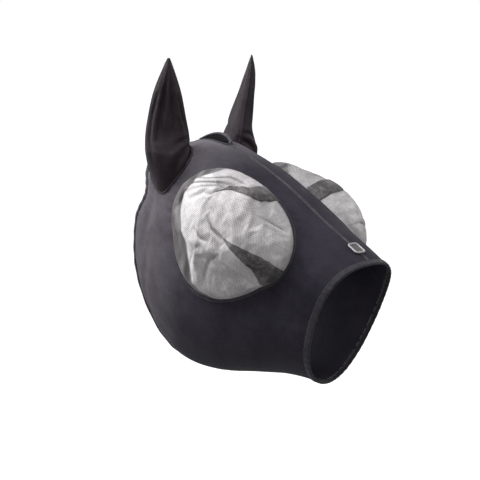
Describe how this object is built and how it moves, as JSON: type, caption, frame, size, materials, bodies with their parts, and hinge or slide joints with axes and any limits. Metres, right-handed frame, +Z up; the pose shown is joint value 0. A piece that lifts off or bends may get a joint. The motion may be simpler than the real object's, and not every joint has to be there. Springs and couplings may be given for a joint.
{
  "type": "horse fly mask",
  "caption": "Pull-on stretch fly mask for a horse, with covered ears that tilt, a forelock slit, domed mesh eye windows and elastic nose and neck hems.",
  "frame": {"origin": "on the poll, at the height of the face line, midway between the ears", "axes": "+Z up, the face points to -Y and downwards, the horse's left is +X"},
  "size_m": [0.3216, 0.4778, 0.5427],
  "materials": {
    "hood_fabric": "dark purple-black knitted stretch fabric with a soft sheen",
    "ear_fabric": "thin dark knitted stretch fabric",
    "binding": "dark folded binding tape",
    "elastic": "dark elastic hem",
    "thread": "dense dark bar-tack thread",
    "mesh": "fine grey-black see-through net",
    "patch": "plain silver-grey flexible patch",
    "label": "blank white woven label"
  },
  "bodies": {
    "hood": {"hood_panel_right": "hood_fabric", "hood_panel_left": "hood_fabric", "face_seam_tape": "binding", "poll_seam_tape": "binding", "jaw_seam_tape": "binding", "forelock_binding_right": "binding", "forelock_binding_left": "binding", "forelock_bar_tacks": "thread", "eye_mesh_right": "mesh", "eye_mesh_left": "mesh", "eye_binding_right": "binding", "eye_binding_left": "binding", "ear_base_right": "ear_fabric", "ear_base_left": "ear_fabric", "nose_hem": "elastic", "neck_hem": "elastic", "nose_patch": "patch", "care_label": "label"},
    "ear_right": {"ear_front_right": "ear_fabric", "ear_back_right": "ear_fabric"},
    "ear_left": {"ear_front_left": "ear_fabric", "ear_back_left": "ear_fabric"}
  },
  "joints": [
    {"name": "ear_right_tilt", "type": "hinge", "parent": "hood", "child": "ear_right", "pos_m": [-0.08592, 0.03089, -0.04105], "axis": [1, 0, 0], "range_deg": [-30, 12], "stiffness_Nm_per_rad": 0.3},
    {"name": "ear_left_tilt", "type": "hinge", "parent": "hood", "child": "ear_left", "pos_m": [0.08592, 0.03089, -0.04105], "axis": [1, 0, 0], "range_deg": [-30, 12], "stiffness_Nm_per_rad": 0.3}
  ]
}
